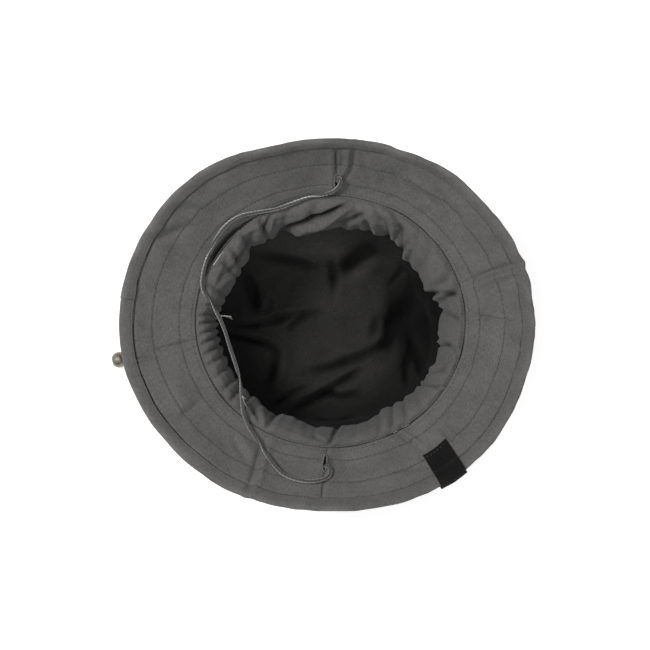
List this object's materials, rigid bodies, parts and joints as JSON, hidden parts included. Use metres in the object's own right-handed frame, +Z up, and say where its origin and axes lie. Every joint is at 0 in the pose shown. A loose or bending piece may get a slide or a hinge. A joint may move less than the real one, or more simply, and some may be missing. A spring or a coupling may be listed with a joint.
{
  "type": "boonie hat",
  "caption": "Soft wide-brimmed cloth hat on its crown, opening up, with gathered sweatband, bound brim and chin cord.",
  "frame": {"origin": "centre of the hat's outline seen from above, on the surface that the crown's top rests on; the hat lies upside down, opening up", "axes": "+X towards the front of the hat, +Y and -Y the two sides with the cord slits, -X the back with the gathered sweatband and the cord's end ball, +Z up out of the head opening (worn, +Z points down)"},
  "size_m": [0.3055, 0.255, 0.1364],
  "materials": {
    "cloth": "matte grey cotton twill",
    "sweatband_cloth": "matte grey cotton",
    "lining_cloth": "matte black plain weave",
    "stiffener": "non-woven interlining",
    "elastic": "woven elastic",
    "tab_tape": "black woven tape",
    "label": "white satin label",
    "cord": "flat braided polyester",
    "ball": "pearly grey metal",
    "lock": "black moulded plastic",
    "spring": "spring wire"
  },
  "bodies": {
    "hat": {"brim_under_front": "cloth", "brim_under_back": "cloth", "brim_upper_front": "cloth", "brim_upper_back": "cloth", "brim_interlining": "stiffener", "edge_binding": "cloth", "edge_tab": "tab_tape", "slit_welt_left": "cloth", "slit_welt_right": "cloth", "crown_top": "cloth", "crown_side_front": "cloth", "crown_side_back": "cloth", "lining_top": "lining_cloth", "lining_side": "lining_cloth", "sweatband": "sweatband_cloth", "sweatband_elastic": "elastic", "care_label": "label", "foliage_band": "cloth", "cord_loop": "cord", "cord_strand_left": "cord", "cord_strand_right": "cord", "cord_knot": "cord", "cord_end_ball": "ball"},
    "cord_lock": {"lock_body": "lock", "lock_spring": "spring"},
    "lock_button": {"lock_plunger": "lock"}
  },
  "joints": [
    {"name": "lock_slide", "type": "slide", "parent": "hat", "child": "cord_lock", "axis": [0.9848, 0.1736, 0], "range_m": [-0.018, 0.013]},
    {"name": "button_press", "type": "slide", "parent": "cord_lock", "child": "lock_button", "axis": [-0.1736, 0.9848, 0], "range_m": [0, 0.0015], "stiffness_N_per_m": 800, "springref_m": -0.001, "deforming": ["lock_spring"]}
  ]
}
